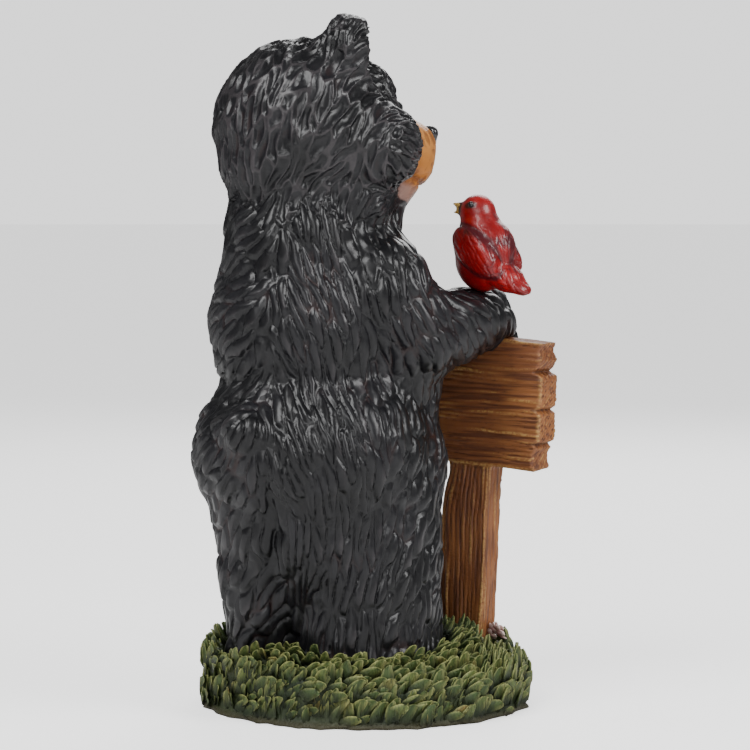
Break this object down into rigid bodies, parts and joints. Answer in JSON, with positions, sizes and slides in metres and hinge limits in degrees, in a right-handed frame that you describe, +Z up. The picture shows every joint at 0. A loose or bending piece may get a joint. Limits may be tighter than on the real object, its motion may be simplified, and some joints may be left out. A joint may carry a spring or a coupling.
{
  "type": "bear garden statue",
  "caption": "Painted cast-resin bear cub standing on a grass mound, arms resting on a wooden sign, red bird on its paw.",
  "frame": {"origin": "middle of the mound's flat underside", "axes": "+Z up, -Y towards the front of the sign, -X towards the bear's right side"},
  "size_m": [0.1971, 0.2196, 0.3976],
  "materials": {
    "black_paint": "semi-gloss black paint on cast resin",
    "grass_paint": "matt green paint on cast resin",
    "wood_paint": "satin brown paint on cast resin",
    "red_paint": "gloss red paint on cast resin"
  },
  "bodies": {
    "root": {"bear": "black_paint", "grass_base": "grass_paint", "sign": "wood_paint", "bird": "red_paint"}
  },
  "joints": []
}
